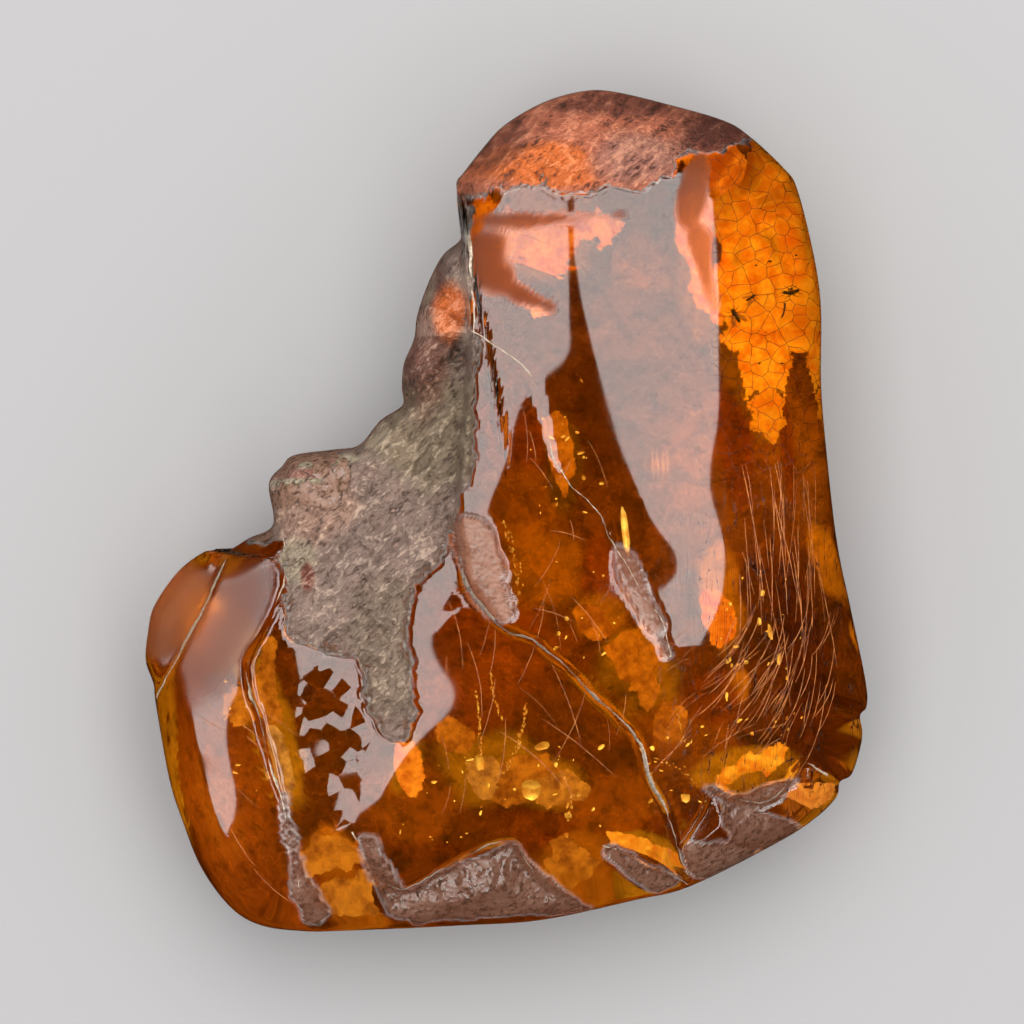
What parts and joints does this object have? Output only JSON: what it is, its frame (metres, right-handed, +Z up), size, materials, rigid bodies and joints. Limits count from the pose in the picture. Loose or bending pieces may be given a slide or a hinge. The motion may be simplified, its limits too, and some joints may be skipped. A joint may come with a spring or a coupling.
{
  "type": "insect in amber",
  "caption": "Raw lump of clear orange amber with one polished face, broken crusty edges and small flies sealed inside, lying on its ground-flat back.",
  "frame": {"origin": "middle of the bounding box's base, on the surface that the amber lies on", "axes": "+Z up out of the polished front face, +Y along the long column towards its round end, +X to the right as the front face is looked at"},
  "size_m": [0.0646, 0.0752, 0.0282],
  "materials": {
    "amber": "clear orange to red-brown fossil resin, polished on the front, matte grey-brown crust in the hollows",
    "insect": "dark brown insect body"
  },
  "bodies": {
    "root": {"amber_front": "amber", "amber_back": "amber", "fly": "insect", "small_fly": "insect"}
  },
  "joints": []
}
